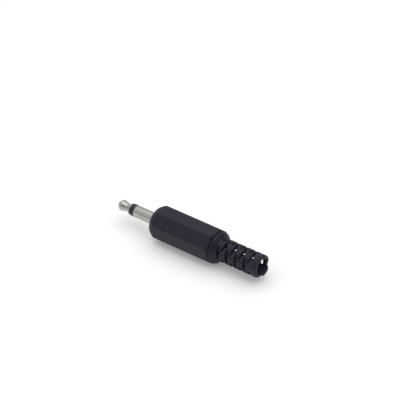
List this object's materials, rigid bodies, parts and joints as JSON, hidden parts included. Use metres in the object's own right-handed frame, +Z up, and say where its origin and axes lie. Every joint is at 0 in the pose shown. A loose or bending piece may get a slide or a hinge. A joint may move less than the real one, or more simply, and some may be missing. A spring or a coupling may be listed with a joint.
{
  "type": "mono mini jack plug",
  "caption": "Straight mono mini jack plug: nickel-plated finger, black octagonal screw-on hood with a slotted cable relief.",
  "frame": {"origin": "on the plug's axis, at the front face of the flange where it stops against a socket", "axes": "+X along the axis from the tip to the cable outlet, +Z up, away from the flat of the grip that it rests on"},
  "size_m": [0.052, 0.0098, 0.0098],
  "materials": {
    "nickel_plate": "bright nickel plate over brass",
    "black_insulator": "black moulded acetal",
    "tinned_sheet": "tinned brass sheet",
    "hood_plastic": "fine matt black moulded plastic"
  },
  "bodies": {
    "plug": {"tip_contact": "nickel_plate", "tip_insulator": "black_insulator", "sleeve_barrel": "nickel_plate", "rear_insulator": "black_insulator", "tip_terminal": "tinned_sheet", "ground_terminal": "tinned_sheet"},
    "hood": {"hood": "hood_plastic"}
  },
  "joints": [
    {"name": "hood_draw_off", "type": "slide", "parent": "plug", "child": "hood", "axis": [1, 0, 0], "range_m": [0, 0.024]}
  ]
}
